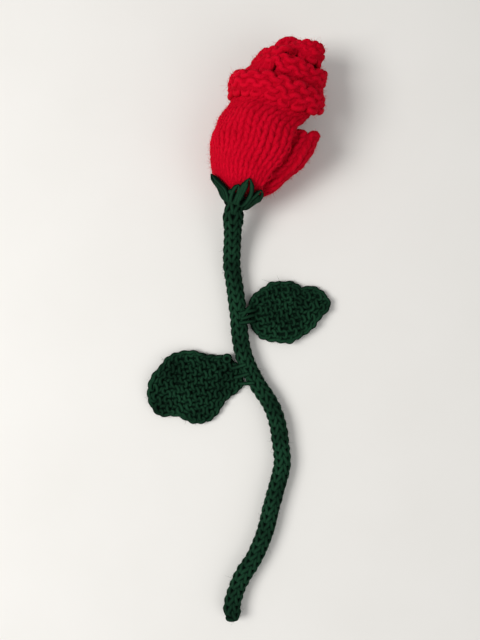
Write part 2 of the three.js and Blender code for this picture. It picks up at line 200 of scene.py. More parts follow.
def soft_yarn(name, deep, bright):
    """Soft spun acrylic yarn: plies as grooves, crimped fibres as a fine bump, matt."""
    yarn = blank_material(name)
    product, product_and_sum = {"operation": "MULTIPLY"}, {"operation": "MULTIPLY_ADD"}
    place = add(yarn, "ShaderNodeUVMap", {"uv_map": "thread"})
    split = add(yarn, "ShaderNodeSeparateXYZ", Vector=place.outputs[0])
    around, along = split.outputs[0], split.outputs[1]
    screw = add(yarn, "ShaderNodeMath", product, _0=along, _1=np.pi / TWIST * PLIES)
    phase = add(
        yarn, "ShaderNodeMath", product_and_sum, _0=around, _1=np.pi * PLIES, _2=screw.outputs[0]
    )
    ripple = add(yarn, "ShaderNodeMath", {"operation": "SINE"}, _0=phase.outputs[0])
    ply = add(yarn, "ShaderNodeMath", {"operation": "ABSOLUTE"}, _0=ripple.outputs[0])
    where = add(yarn, "ShaderNodeTexCoord").outputs["Object"]
    fibre = add(yarn, "ShaderNodeTexNoise", Vector=where, Scale=CRIMP, Detail=2.0)
    batch = add(yarn, "ShaderNodeTexNoise", Vector=where, Scale=DYE_PATCHES, Detail=3.0)
    height = add(
        yarn, "ShaderNodeMath", product_and_sum,
        _0=fibre.outputs["Fac"], _1=CRIMP_HEIGHT, _2=ply.outputs[0],
    )
    relief = add(
        yarn, "ShaderNodeBump", Height=height.outputs[0], Strength=0.35, Distance=PLY_DEPTH
    )
    # Painted shade: deep on the thread's flanks, full where it faces out, mixed with the dye
    # patches.
    angle = add(yarn, "ShaderNodeMath", product, _0=around, _1=2 * np.pi)
    facing = add(yarn, "ShaderNodeMath", {"operation": "COSINE"}, _0=angle.outputs[0])
    crest = add(yarn, "ShaderNodeMath", product, _0=facing.outputs[0], _1=facing.outputs[0])
    lit = add(yarn, "ShaderNodeMath", product, _0=crest.outputs[0], _1=batch.outputs["Fac"])
    share = add(
        yarn, "ShaderNodeMapRange", Value=lit.outputs[0], From_Min=FLANK, From_Max=CREST
    )
    tone = add(
        yarn, "ShaderNodeMix", {"data_type": "RGBA"},
        _0=share.outputs[0], _6=paint(deep), _7=paint(bright),
    )
    body = add(
        yarn, "ShaderNodeBsdfPrincipled", Base_Color=tone.outputs[2], Roughness=0.9,
        Normal=relief.outputs[0], Sheen_Weight=0.08, Sheen_Roughness=0.5, Sheen_Tint=paint(bright),
        Specular_IOR_Level=0.06,
    )
    add(yarn, "ShaderNodeOutputMaterial", Surface=body.outputs[0])
    return yarn


print("plies", PLIES, "to a thread, one turn in", TWIST, "mm")

# %% Loose fibre ends


def fibre_ends(name, colour, paler):
    """Single acrylic fibres: quite matt, so that they blur the edge of a thread without a glint."""
    ends = blank_material(name)
    where = add(ends, "ShaderNodeTexCoord").outputs["Object"]
    batch = add(ends, "ShaderNodeTexNoise", Vector=where, Scale=spots(3, 10), Detail=2.0)
    tone = add(
        ends, "ShaderNodeMix", {"data_type": "RGBA"},
        _0=batch.outputs["Fac"], _6=paint(colour), _7=paint(paler),
    )
    body = add(
        ends, "ShaderNodeBsdfPrincipled", Base_Color=tone.outputs[2], Roughness=1.0,
        Specular_IOR_Level=0.0,
    )
    add(ends, "ShaderNodeOutputMaterial", Surface=body.outputs[0])
    return ends


# %% [markdown]
# ## Two dyes
# The rose takes two balls of yarn. The red is bright and its flanks are painted only a little
# darker, because red light passes from fibre to fibre. The dark green swallows light, so its
# flanks are painted near black and only its crests show green. A lining is the same yarn in
# painted shade, as the eye meets it deep between the stitches.

# %% The yarns of the rose
RED_FUZZ = fibre_ends("red fibre ends", "#b4001c", "#cc0428")
GREEN_FUZZ = fibre_ends("green fibre ends", "#0e2c1c", "#1c402a")
# The first colour of each yarn is painted shade on its flanks, the second its full colour.
RED = soft_yarn("red acrylic yarn", "#ac0018", "#c40222")
RED_IN_SHADE = soft_yarn("red yarn in painted shade", "#a80018", "#b2001c")
GREEN = soft_yarn("dark green acrylic yarn", "#010c06", "#173a26")
GREEN_IN_SHADE = soft_yarn("green yarn in painted shade", "#010c06", "#06180e")
print("yarn:", RED.name, "and", GREEN.name)

# %% [markdown]
# ## Forms
# The petals, the stem and the leaves are curved surfaces, and the yarn has to follow them. Each
# surface is a function from a place in the cloth to a point in space, in millimetres and in numpy
# arrays, so that ten thousand points are worked out at once. The sizes are those of the imported
# rose, because the cloth must lie where its solid is.
#
# Soft things change slowly from place to place. Such a change is noted below as a step of three
# numbers: how much it adds, where it starts and where it is complete.

# %% Shared curves
rng = np.random.default_rng(7)


def ease(value, start, end):
    """Rises smoothly from 0 at start to 1 at end."""
    share = np.clip((value - start) / (end - start), 0, 1)
    return share * share * (3 - 2 * share)


def steps(value, total, *parts):
    """The total after smooth steps at value, each one (how much, from, to)."""
    for size, start, end in parts:
        total = total + size * ease(value, start, end)
    return total


def mix(low, high, share):
    """Between low and high."""
    return low + (high - low) * share


def unit(vectors):
    """Each vector at length one."""
    return vectors / np.maximum(np.linalg.norm(vectors, axis=-1, keepdims=True), 1e-9)


print("half way, a step of 5 adds", float(steps(5, 0, (5, 0, 10))))

# %% [markdown]
# ## The bud's outline
# The bud lies on the table and leans 20 degrees to the right of the stem. It is a cup below and a
# wall above, a little wider than deep and fuller in front than behind. Its middle isn't straight:
# the cup's foot sits 2 mm to the left, and the top swings over to the right.

# %% Sizes of the bud
BUD_BASE = np.array([-1.0, 57.4, 15.0])
LEAN = np.radians(20)
BUD_AXIS = np.array([np.sin(LEAN), np.cos(LEAN), 0])
BUD_ACROSS = np.array([np.cos(LEAN), -np.sin(LEAN), 0])
UP = np.array([0.0, 0.0, 1.0])
HALF_WIDTH, BUD_FRONT, BUD_BACK = 22.6, 20.6, 17.6
CUP_HEIGHT = 32
CUP_HOLE = 4.4
FOOT_SWING = -2
SWINGS = (2, 0, 23), (5.5, 50, 84), (1.2, 70, 76)
LIFTED = 3.8, 0, CUP_HEIGHT
print("bud", HALF_WIDTH * 2, "by", BUD_FRONT + BUD_BACK, "mm, cup", CUP_HEIGHT, "mm high")

# %% Points on the bud


def bud_section(angle, height, side, front, back, lift=0):
    """A point round the bud, from the section's half width and depths; angle 0 faces up."""
    swing = steps(height, FOOT_SWING, *SWINGS)
    depth = mix(back, front, (1 + np.cos(angle)) / 2)
    rise = steps(height, lift, LIFTED)
    across = swing + side * np.sin(angle)
    over = rise + depth * np.cos(angle)
    return (
        BUD_BASE
        + np.multiply.outer(height, BUD_AXIS)
        + np.multiply.outer(across, BUD_ACROSS)
        + np.multiply.outer(over, UP)
    )


def bud_point(angle, height, inset, grow=1, proud=0):
    """A point on the bud's outline, drawn in by inset, scaled by grow and let out by proud."""
    halves = ((full - inset) * grow + proud for full in (HALF_WIDTH, BUD_FRONT, BUD_BACK))
    return bud_section(angle, height, *halves)


def cup_point(angle, climb, inset):
    """A point on the cup at the bud's base; climb is 0 on the axis, a right angle at the rim."""
    height = CUP_HEIGHT - (CUP_HEIGHT - inset) * np.cos(climb)
    return bud_point(angle, height, inset, np.sin(climb))


print("the cup's foot lies at", np.round(cup_point(0.0, 0.0, 0.0), 1))

# %% [markdown]
# ## The surface of a petal
# A petal grows from its gathered foot, over the cup, up the wall, and turns outwards in a cuff that
# hangs down over the wall. A stage from 0 to 4 says how far along that way a point is: cup, wall,
# fold and cuff. The real cuff isn't a stiff ring. Its edge sinks softly against the wall below, so
# the cuff lets go of its distance over the last part.
#
# The petals could be four bodies shaped by hand, but then each would need its own knitting. One
# function for all, with a short list of values for each petal, knits every one the same way.
# Angles go round the bud clockwise as seen from the stem, in degrees in the lists, with 0 on top.

# %% Layers of cloth
FABRIC = 3.0
LAYER = 3.85
FOLD_RADIUS = 1.75
WALL, FOLD, CUFF = 1, 2, 3
print("two petals lie", LAYER, "mm apart, a turned rim takes", 2 * FOLD_RADIUS + FABRIC, "mm")

# %% Where the front and back petals begin and end
FRONT_LEFT = -125
FRONT_RIGHT = 42
FOOT_WIDER, RIM_WIDER = 20, 41
OVERLAP = 10
TUCK_SLOPE = np.radians(15)
FLAP_RISES, FLAP_FALLS = (52, 80), (118, 160)


def front_to(stage):
    """Where the front petal's right edge lies, round the bud."""
    at_foot = FOOT_WIDER * (1 - ease(stage, 0, 0.6))
    return np.radians(FRONT_RIGHT + at_foot + RIM_WIDER * ease(stage, 1.1, 1.85))


def tuck(angle, stage):
    """How far the back petal's edges lie under the front petal, from 0 to 1."""
    low = np.minimum(stage, WALL)
    spread = TUCK_SLOPE * (2 - low)
    right = front_to(low) + np.radians(OVERLAP)
    left = np.radians(FRONT_LEFT + 360 - OVERLAP)
    return 1 - ease(angle, right, right + spread) * (1 - ease(angle, left - spread, left))


def flap(angle):
    """How much of the flap there is: the back petal leans out on the right."""
    turn = np.degrees(angle)
    return ease(turn, *FLAP_RISES) * (1 - ease(turn, *FLAP_FALLS))


print("front petal's right edge at", np.round(np.degrees(front_to(np.arange(3))), 1), "degrees")

# %% How high each petal's fold lies
FRONT_CREST, FRONT_LEFT_RISE, FRONT_RIGHT_RISE, FRONT_TILT = 54.8, 1.2, 2.8, 0.8
BACK_CREST, BACK_DIP = 40.4, 4
INNER_CREST, INNER_STEPS = 67, ((5, 50, 110), (-3, 200, 270), (1.5, 290, 342))
CENTRE_CREST, CENTRE_TILT = 79.4, 0.9


def front_height(angle):
    """The front petal's crest, which rises to both sides."""
    side_rise = np.where(angle > 0, FRONT_RIGHT_RISE, FRONT_LEFT_RISE)
    return FRONT_CREST + side_rise * (1 - np.cos(angle)) + FRONT_TILT * np.sin(angle)


def back_height(angle):
    """The back petal's crest, lower where it starts."""
    return BACK_CREST - BACK_DIP * (1 - ease(np.degrees(angle), 30, 85))


def inner_height(angle):
    """The inner petal's crest, highest on the right."""
    return steps(np.degrees(angle), INNER_CREST, *INNER_STEPS)


def centre_height(angle):
    """The roll's crest, which tilts a little to the right."""
    return CENTRE_CREST + CENTRE_TILT * np.sin(angle)


print("crests at", FRONT_CREST, BACK_CREST, INNER_CREST, "and", CENTRE_CREST, "mm")

# %% How far each cuff hangs down
FRONT_EDGE, FRONT_EDGE_STEPS = 43.2, ((2.4, 25, 60), (3.5, 58, 84))
INNER_EDGE_TILT = 0.4
CENTRE_EDGE, CENTRE_EDGE_RISE = 70, 4


def fold_start(height):
    """Where the wall ends and the fold begins."""
    return height - FABRIC / 2 - FOLD_RADIUS


def front_cuff(angle):
    """The front cuff reaches down to a line that climbs on the right."""
    climbs = steps(np.degrees(angle), 0, *FRONT_EDGE_STEPS)
    return fold_start(front_height(angle)) - FRONT_EDGE - climbs


def inner_cuff(angle):
    """The inner cuff reaches down to just above the front petal's crest."""
    gap = INNER_EDGE_TILT * np.sin(angle)
    return fold_start(inner_height(angle)) - front_height(angle) + gap


def centre_cuff(angle):
    """The roll's cuff is longer at the sides."""
    return fold_start(CENTRE_CREST) - CENTRE_EDGE + CENTRE_EDGE_RISE * np.abs(np.sin(angle))


print("the front cuff is", round(float(front_cuff(0.0)), 1), "mm long in front")

# %% How the cuffs lie
FLARE, CENTRE_FLARE = 0.08, 0.12
UPRIGHT = 0.05
FLAP_CURL, FLAP_LEAN = 0.3, 3.8
LEFT_REST = 0.2


def flared(angle, by=FLARE):
    """How far a cuff turns over; on the right it stands off a little."""
    return 1 - by * ease(np.sin(angle), 0.3, 1)


def front_rest(angle):
    """How much of its distance from the wall the cuff keeps at its edge: little on the left."""
    return mix(LEFT_REST, 1, ease(np.degrees(angle), 20, 60))


def back_curl(angle):
    """The back petal's rim stands straight, but for the flap's."""
    return mix(UPRIGHT, FLAP_CURL, flap(angle))


def flap_lean(angle, climb):
    """The flap leans out, more and more up the wall."""
    return FLAP_LEAN * flap(angle) * ease(climb, 16, 37)


print("the flap leans out by", float(flap_lean(np.radians(100), CUP_HEIGHT + 5)), "mm")

# %% Places of the inner petals
INNER_INSET = FABRIC / 2 + 2 * LAYER
INNER_ROOM = 1.2
ROLL_START, ROLL_PLAY = 1.65, 0.85
MOUTH_FRONT, MOUTH_BACK = (depth - INNER_INSET - INNER_ROOM for depth in (BUD_FRONT, BUD_BACK))
CENTRE_OUTER = (MOUTH_FRONT + MOUTH_BACK - ROLL_PLAY) / 2 - FABRIC
CENTRE_TO = np.radians(200)
CENTRE_FROM = CENTRE_TO - 2 * np.pi * (CENTRE_OUTER - ROLL_START) / LAYER


def back_inset(angle, stage):
    """The back petal lies on the outside, but for its tucked edges."""
    return FABRIC / 2 + LAYER * tuck(angle, stage)


def centre_curl(angle):
    """The roll's inner end stands straight, and its rim turns over further out."""
    turned = ease(np.degrees(angle - CENTRE_FROM), 20, 80)
    return mix(UPRIGHT, flared(angle, CENTRE_FLARE), turned)


print("centre rolls through", round(float(np.degrees(CENTRE_TO - CENTRE_FROM))), "degrees")

# %% The four petals
# A wale is a column of stitches. Rows before the first one drawn are hidden by other petals.
PETALS = {
    "front": {
        "from": np.radians(FRONT_LEFT), "to": front_to, "height": front_height,
        "cuff": front_cuff, "rest": front_rest, "curl": flared, "wales": 11, "first_row": 0,
    },
    "back": {
        "from": np.radians(20), "to": np.radians(250), "height": back_height, "cuff": 1.5,
        "inset": back_inset, "curl": back_curl, "lean": flap_lean, "wales": 15, "first_row": 0,
    },
    "inner": {
        "from": np.radians(-12), "to": np.radians(342), "height": inner_height,
        "cuff": inner_cuff, "inset": INNER_INSET, "opening": 1.6, "curl": flared,
        "wales": 15, "first_row": 11,
    },
    "centre": {
        "from": CENTRE_FROM, "to": CENTRE_TO, "height": centre_height, "cuff": centre_cuff,
        "curl": centre_curl, "wales": 10, "first_row": 0,
    },
}
print("stitches across:", {name: petal["wales"] for name, petal in PETALS.items()})

# %% The fold and the cuff
CUFF_SINKS = 3.25, 4.1


def value(petal, name, *where, usual=0):
    """One of a petal's values, which may be a number or depend on the place."""
    found = petal.get(name, usual)
    return found(*where) if callable(found) else found


def turned_down(petal, angle, stage):
    """How far a point of the fold or cuff is off the wall, and how high above the wall's end."""
    curl = value(petal, "curl", angle, usual=1)
    turn = np.pi * curl * np.clip(stage - FOLD, 0, 1)
    hang = np.clip(stage - CUFF, 0, 2) * (value(petal, "cuff", angle) * curl)
    proud = FOLD_RADIUS * (1 - np.cos(turn)) + hang * np.sin(turn)
    kept = mix(1, value(petal, "rest", angle, usual=1), ease(stage, *CUFF_SINKS))
    return proud * kept, FOLD_RADIUS * np.sin(turn) + hang * np.cos(turn)


# %% A point on a petal
CENTRE_FOOT = 56
WALL_STEPS = (4.4, 18, 46), (-1.6, 45, 54)
NECK = 2.8, 33, 43
MOUTH = 46, 56


def rolled(angle, stage, start, proud, over):
    """A point on the centre petal, which is rolled up like a scroll."""
    climb = mix(CENTRE_FOOT, start, np.clip(stage / 2, 0, 1))
    radius = CENTRE_OUTER - LAYER * (CENTRE_TO - angle) / (2 * np.pi) + proud
    lift = (MOUTH_FRONT - MOUTH_BACK) / 2
    return bud_section(angle, climb + over, radius, radius, radius, lift)


def petal_point(petal, share, stage):
    """The middle of a petal's cloth, share of the way round and at a stage of its growth."""
    share, stage = np.broadcast_arrays(share, stage)
    angle = mix(value(petal, "from", stage), value(petal, "to", stage), share)
    start = fold_start(value(petal, "height", angle))
    proud, over = turned_down(petal, angle, stage)
    if petal is PETALS["centre"]:
        return rolled(angle, stage, start, proud, over)
    inset = value(petal, "inset", angle, stage, usual=FABRIC / 2)
    foot = np.arcsin(CUP_HOLE / (HALF_WIDTH - inset))
    opened = mix(foot, np.pi / 2, np.clip(stage, 0, 1))
    cup = CUP_HEIGHT - (CUP_HEIGHT - inset) * np.cos(opened)
    wall = mix(CUP_HEIGHT, start, np.clip(stage - WALL, 0, 1))
    climb = np.where(stage < WALL, cup, wall)
    on_left = ease(-np.sin(angle), 0.2, 0.9)
    neck = mix(steps(climb, 0, NECK), steps(climb, 0, *WALL_STEPS), on_left)
    drawn = inset + neck - value(petal, "opening") * ease(climb, *MOUTH)
    lean = value(petal, "lean", angle, climb)
    return bud_point(angle, climb + over, drawn, np.sin(opened), proud + lean)


tip = petal_point(PETALS["front"], 0.5, FOLD + 0.5)
print("the front petal's crest is", round(float(tip[2]), 1), "mm over the table")

# %% [markdown]
# ## A hand's unevenness
# Hand-knitted cloth never lies quite true. A few long waves in random directions push every point
# by about half a millimetre. They depend only on where the point is, so cloth, lining and neighbour
# all move together and nothing is pushed through anything else.

# %% Long soft waves
WAVE_COUNT = 10
WAVE_LENGTHS = 11, 24
ADDED_UP = 1.6

directions = unit(rng.normal(size=(WAVE_COUNT, 3)))
wave_ways = directions * 2 * np.pi / rng.uniform(*WAVE_LENGTHS, (WAVE_COUNT, 1))
wave_starts = rng.uniform(0, 2 * np.pi, WAVE_COUNT)
wave_pushes = unit(rng.normal(size=(WAVE_COUNT, 3))) / np.sqrt(WAVE_COUNT)


def by_hand(points, size):
    """The points moved by up to about size, smoothly."""
    return points + size * ADDED_UP * np.sin(points @ wave_ways.T + wave_starts) @ wave_pushes


def jitter(count, every, amount):
    """A value that wanders a little, with a new aim at every so many points."""
    aims = rng.normal(0, amount, count // every + 2)
    return np.interp(np.arange(count) / every, np.arange(len(aims)), aims)


print(WAVE_COUNT, "waves of", WAVE_LENGTHS[0], "to", WAVE_LENGTHS[1], "mm")

# %% [markdown]
# ## Thread
# Yarn is a long round thread. Blender's curves could be bevelled for this, but a mesh tube keeps
# the thread's own coordinates, round it and along it, and the plies of the yarn are drawn on those.

# %% Lengths and faces of a thread
SIDES = 8


def run_along(points):
    """The length along a line of points, at each of them."""
    return np.concatenate([[0], np.cumsum(np.linalg.norm(np.diff(points, axis=0), axis=1))])


def tube_faces(rings, sides):
    """Four-sided faces of a tube whose points lie in rings, closed at both ends."""
    ring, side = np.meshgrid(np.arange(rings - 1), np.arange(sides), indexing="ij")
    after = (side + 1) % sides
    corners = [ring * sides + side, ring * sides + after]
    corners += [(ring + 1) * sides + after, (ring + 1) * sides + side]
    strip = np.arange(sides // 2 - 1)
    end = np.stack([strip, strip + 1, sides - 2 - strip, sides - 1 - strip], axis=-1)
    wall = np.stack(corners, axis=-1).reshape(-1, 4)
    return np.concatenate([wall, end[:, ::-1], end + (rings - 1) * sides]), ring, side


print("a thread has", SIDES, "sides")

# %% Sweep a path into a round thread


def thread(path, outward, radius):
    """A tube along path: its points, faces, and a coordinate round and along it."""
    along = unit(np.gradient(path, axis=0))
    beside = unit(np.cross(along, outward))
    over = np.cross(beside, along)
    turns = 2 * np.pi * np.arange(SIDES) / SIDES
    ring = np.cos(turns)[:, None] * over[:, None] + np.sin(turns)[:, None] * beside[:, None]
    points = path[:, None] + radius[:, None, None] * ring
    points[..., 2] = np.maximum(points[..., 2], 0)
    faces, ring_at, side_at = tube_faces(len(path), SIDES)
    length = run_along(path)
    around = np.stack([side_at, side_at + 1, side_at + 1, side_at], axis=-1) / SIDES
    down = length[np.stack([ring_at, ring_at, ring_at + 1, ring_at + 1], axis=-1)]
    marks = np.zeros((len(faces) * 4, 2))
    marks[: around.size] = np.stack([around, down], axis=-1).reshape(-1, 2)
    return points.reshape(-1, 3), faces, marks


# %% [markdown]
# ## Fuzz
# Brushed acrylic has loose fibre ends that stand off the thread and soften every edge. Hair from a
# particle system would be the usual way, but it isn't kept when the model is exported, so each
# fibre is a thin ribbon of two segments. Real fibres are 0.03 mm thick; these are drawn four
# times as wide, and fewer of them, to show at this distance. A fibre starts just inside the
# thread, slants along it at random, bends and tapers.

# %% How loose fibres stand
FIBRE_SEGMENTS = 2
FIBRE_HALF_WIDTH = 0.06
FIBRE_ROOT = 0.15
FIBRE_SLANT, FIBRE_STRAY, FIBRE_BEND, FIBRE_TAPER = 1.1, 0.4, 0.45, 0.6
FIBRE_SHORTEST, FIBRE_SHAPE, FIBRE_SPREAD = 0.4, 4.0, 0.17
print("fibres stand out about", round(FIBRE_SHORTEST + FIBRE_SHAPE * FIBRE_SPREAD, 2), "mm")

# %% Loose fibres along a thread


def fuzz(path, outward, radius, spacing):
    """Ribbons that stand off a thread, one for every spacing millimetres of it."""
    length = run_along(path)
    count = int(length[-1] / spacing)
    at = rng.uniform(0, length[-1], count)
    along_all = unit(np.gradient(path, axis=0))
    centre, along, over = (
        np.stack([np.interp(at, length, values[:, k]) for k in range(3)], axis=-1)
        for values in (path, along_all, outward)
    )
    turn = rng.uniform(0, 2 * np.pi, (count, 1))
    ring = unit(np.cos(turn) * over + np.sin(turn) * unit(np.cross(along, over)))
    root = centre + ring * (np.interp(at, length, radius) - FIBRE_ROOT)[:, None]
    slant = along * rng.normal(0, FIBRE_SLANT, (count, 1))
    way = unit(ring + slant + FIBRE_STRAY * rng.normal(size=(count, 3)))
    reach = rng.gamma(FIBRE_SHAPE, FIBRE_SPREAD, (count, 1)) + FIBRE_SHORTEST
    bend = reach * FIBRE_BEND * rng.normal(size=(count, 3))
    beside = unit(np.cross(way, rng.normal(size=(count, 3))))
    points = []
    for share in np.linspace(0, 1, FIBRE_SEGMENTS + 1):
        middle = root + way * reach * share + bend * share**2
        half = beside * FIBRE_HALF_WIDTH * (1 - FIBRE_TAPER * share)
        points += [middle - half, middle + half]
    points = np.stack(points, axis=1)
    points[..., 2] = np.maximum(points[..., 2], 0)
    ladder = np.array([[2 * k, 2 * k + 1, 2 * k + 3, 2 * k + 2] for k in range(FIBRE_SEGMENTS)])
    per_fibre = 2 * (FIBRE_SEGMENTS + 1)
    faces = (np.arange(count)[:, None, None] * per_fibre + ladder).reshape(-1, 4)
    return points.reshape(-1, 3), faces, np.zeros((len(faces) * 4, 2))


# %% [markdown]
# ## Pieces
# Points and faces become an object of their own, and the thread's coordinates become its UV layer.
# Every piece then rides on the rose's body and is made of one yarn, and the imported solid that it
# stands for is hidden.

# %% Make an object of it


def mesh_piece(name, parts, material):
    """One object from several (points, faces, marks), placed in the rose's frame."""
    starts = np.cumsum([0] + [len(part[0]) for part in parts])
    points = np.concatenate([part[0] for part in parts])
    faces = np.concatenate([part[1] + start for part, start in zip(parts, starts)])
    marks = np.concatenate([part[2] for part in parts])
    mesh = bpy.data.meshes.new(name)
    mesh.from_pydata((points + VIEW_MIDDLE) * MM, [], faces)
    mesh.polygons.foreach_set("use_smooth", np.ones(len(faces), bool))
    layer = mesh.uv_layers.new(name="thread")
    layer.data.foreach_set("uv", marks.astype(np.float32).ravel())
    mesh.materials.append(material)
    mesh.update()
    piece = bpy.data.objects.new(name, mesh)
    bpy.context.scene.collection.objects.link(piece)
    print(name, len(faces) * 2, "triangles")
    return piece


def dress(node, pieces):
    """The pieces ride on the rose and stand for one of its nodes."""
    for piece in pieces:
        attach(piece, "root")
        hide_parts(node)


# %% [markdown]
# ## A stitch
# In knitting, each row is one wave of thread pulled through the waves of the row below. Seen from
# the front, the two legs of a stitch make a V, and the arcs between them hide behind the next row.
# Seen from the back, the arcs show as small bumps. A wave with two swings in width, one in height
# and two in depth gives both faces, so a rim that turns over shows its bumps by itself. In garter
# stitch the rows face front and back in turn, so the depth changes sign from row to row.

# %% One wave of thread for each row
STITCH_STEPS = 20
STITCH_WIDTH = 5.3
ROW_PITCH = 3.85
PETAL_BOW = 0.17
LEG_HEIGHT, LEG_DEPTH = 0.75, 0.46
YARN_RADIUS = 1.45


def wave(count, bow):
    """Side step, height and depth of a stitch's path, in stitches, rows and millimetres."""
    t = np.arange(count) / count
    side = t + bow * np.sin(4 * np.pi * t)
    height = 0.5 - LEG_HEIGHT * np.cos(2 * np.pi * t)
    depth = -LEG_DEPTH * np.cos(4 * np.pi * t)
    return side, height, depth


print("a stitch is", STITCH_WIDTH, "by", ROW_PITCH, "mm, of", 2 * YARN_RADIUS, "mm yarn")

# %% Rows of stitches
WANDER_EVERY = 10
WANDER_ACROSS, WANDER_UP, WANDER_OUT = 0.03, 0.04, 0.12


def knit_rows(surface, wales, rows, first_row):
    """Rows on surface(share, row) as one thread that turns back at each edge."""
    side, height, depth = wave(STITCH_STEPS, PETAL_BOW)
    across = np.append((np.arange(wales)[:, None] + side).ravel(), wales)
    high = np.append(np.tile(height, wales), height[0])
    deep = np.append(np.tile(depth, wales), depth[0])
    lines = []
    for row in range(first_row, rows):
        even = row % 2 == 0
        line = np.stack([across, high + row, deep], axis=-1)
        lines.append(line if even else line[::-1])
        edge, out = (wales, 1) if even else (0, -1)
        turn_back = [[edge + 0.35 * out, row + 0.1, 0], [edge + 0.4 * out, row + 0.4, 0]]
        lines.append(np.array(turn_back))
    x, y, z = np.concatenate(lines).T
    count = len(x)
    x = x + jitter(count, WANDER_EVERY, WANDER_ACROSS)
    y = y + jitter(count, WANDER_EVERY, WANDER_UP)
    z = z + jitter(count, WANDER_EVERY, WANDER_OUT)
    return lay_on(surface, x / wales, y, z, wales)


# %% Lay a path on a surface
STITCH_PART, ROW_PART = 0.4, 0.3
THINNEST, THICKEST = 0.55, 1.05


def lay_on(surface, share, row, depth, wales):
    """Points, outward directions and thread radius for a path drawn on a surface."""
    step = STITCH_PART / wales
    along = surface(share + step, row) - surface(share - step, row)
    upward = surface(share, row + ROW_PART) - surface(share, row - ROW_PART)
    normal = unit(np.cross(along, upward))
    width = np.linalg.norm(along, axis=-1) / (2 * step * wales)
    radius = YARN_RADIUS * np.clip(width / STITCH_WIDTH, THINNEST, THICKEST)
    lifted = depth * radius / YARN_RADIUS
    return surface(share, row) + normal * lifted[:, None], normal, radius


print("where a petal narrows, its yarn is drawn in to", THINNEST, "of its thickness")

# %% [markdown]
# ## Petals
# Each petal is stocking stitch, whose rim rolls outwards by itself and shows the back's bumps. The
# rows are spread evenly along its length, from the gathered foot to the edge of the cuff, and the
# last one ends a little before the edge, because its loops reach past it. In real cloth loose
# fibres close the gaps between stitches. Here a lining in the middle of the cloth, a little more
# than half as thick as the cloth, does that, coloured as the red yarn in painted shade. The foot
# of the inner petal is hidden by the two outer ones, so only its lining is drawn there.

# %% The surface of a petal by rows
PETAL_WANDER = 0.5
EDGE, LAST_ROW_END, PAST_EDGE = 4, 3.88, 4.2
SELVEDGE = 0.03


def row_surface(petal):
    """The petal's surface by rows of equal length, and how many rows it takes."""
    stages = np.linspace(0, PAST_EDGE, 421)
    run = run_along(petal_point(petal, np.full(len(stages), 0.5), stages))
    rows = int(round(np.interp(EDGE, stages, run) / ROW_PITCH))
    last = np.interp(LAST_ROW_END, stages, run)

    def surface(share, row):
        stage = np.interp(np.asarray(row) / rows * last, run, stages)
        share = np.clip(share, -SELVEDGE, 1 + SELVEDGE)
        return by_hand(petal_point(petal, share, stage), PETAL_WANDER)

    return surface, rows


print("rows in each petal:", {name: row_surface(petal)[1] for name, petal in PETALS.items()})

# %% A closed sheet


def closed_sheet(top, bottom):
    """Faces over two grids of points, and round the edge between them."""
    high, wide = top.shape[:2]
    index = np.arange(high * wide).reshape(high, wide)
    corners = [index[:-1, :-1], index[:-1, 1:], index[1:, 1:], index[1:, :-1]]
    quads = np.stack(corners, axis=-1).reshape(-1, 4)
    back = high * wide
    rim = np.concatenate([index[0, :], index[1:, -1], index[-1, -2::-1], index[-2:0:-1, 0]])
    after = np.roll(rim, -1)
    wall = np.stack([rim, rim + back, after + back, after], axis=-1)
    faces = np.concatenate([quads, quads[:, ::-1] + back, wall])
    points = np.concatenate([top.reshape(-1, 3), bottom.reshape(-1, 3)])
    points[:, 2] = np.maximum(points[:, 2], 0)
    return points, faces, np.zeros((len(faces) * 4, 2))


# %% The lining
PETAL_LINING = 2.2


def lining(surface, wales, rows, thickness):
    """A closed sheet along the middle of the cloth."""
    share, row = np.meshgrid(np.linspace(0, 1, wales * 2 + 1), np.linspace(0, rows, rows + 1))
    middle, normal, _ = lay_on(surface, share.ravel(), row.ravel(), np.zeros(share.size), wales)
    middle, normal = middle.reshape(*share.shape, 3), normal.reshape(*share.shape, 3)
    return closed_sheet(middle + normal * thickness / 2, middle - normal * thickness / 2)


print("the lining is", PETAL_LINING, "mm of the cloth's", 2 * (YARN_RADIUS + LEG_DEPTH), "mm")

# %% Knit the petals
PETAL_FUZZ = 0.13
WIDEST = 0.7

for name, petal in PETALS.items():
    surface, rows = row_surface(petal)
    wales = petal["wales"]
    yarn = knit_rows(surface, wales, rows, petal["first_row"])
    cloth = mesh_piece(f"petal_{name}_stitches", [thread(*yarn)], RED)
    halo = mesh_piece(f"petal_{name}_fuzz", [fuzz(*yarn, PETAL_FUZZ)], RED_FUZZ)
    sheet = lining(surface, wales, rows, PETAL_LINING)
    # The lining is the red yarn in painted shade, as it shows deep between the stitches.
    shaded_backing = mesh_piece(f"petal_{name}_lining", [sheet], RED_IN_SHADE)
    dress(f"petal_{name}", [cloth, halo, shaded_backing])
    across = surface(np.linspace(0, 1, 100), np.full(100, rows * WIDEST))
    width = np.linalg.norm(np.diff(across, axis=0), axis=1).sum()

# %% [markdown]
# ## Stem
# The stem is a cord knitted round and round on five stitches, so one thread winds up it in a long
# screw, five stitches to a turn. It starts with two turns drawn up tight, which close the foot, and
# it has been twisted a little by hand where it was laid down.

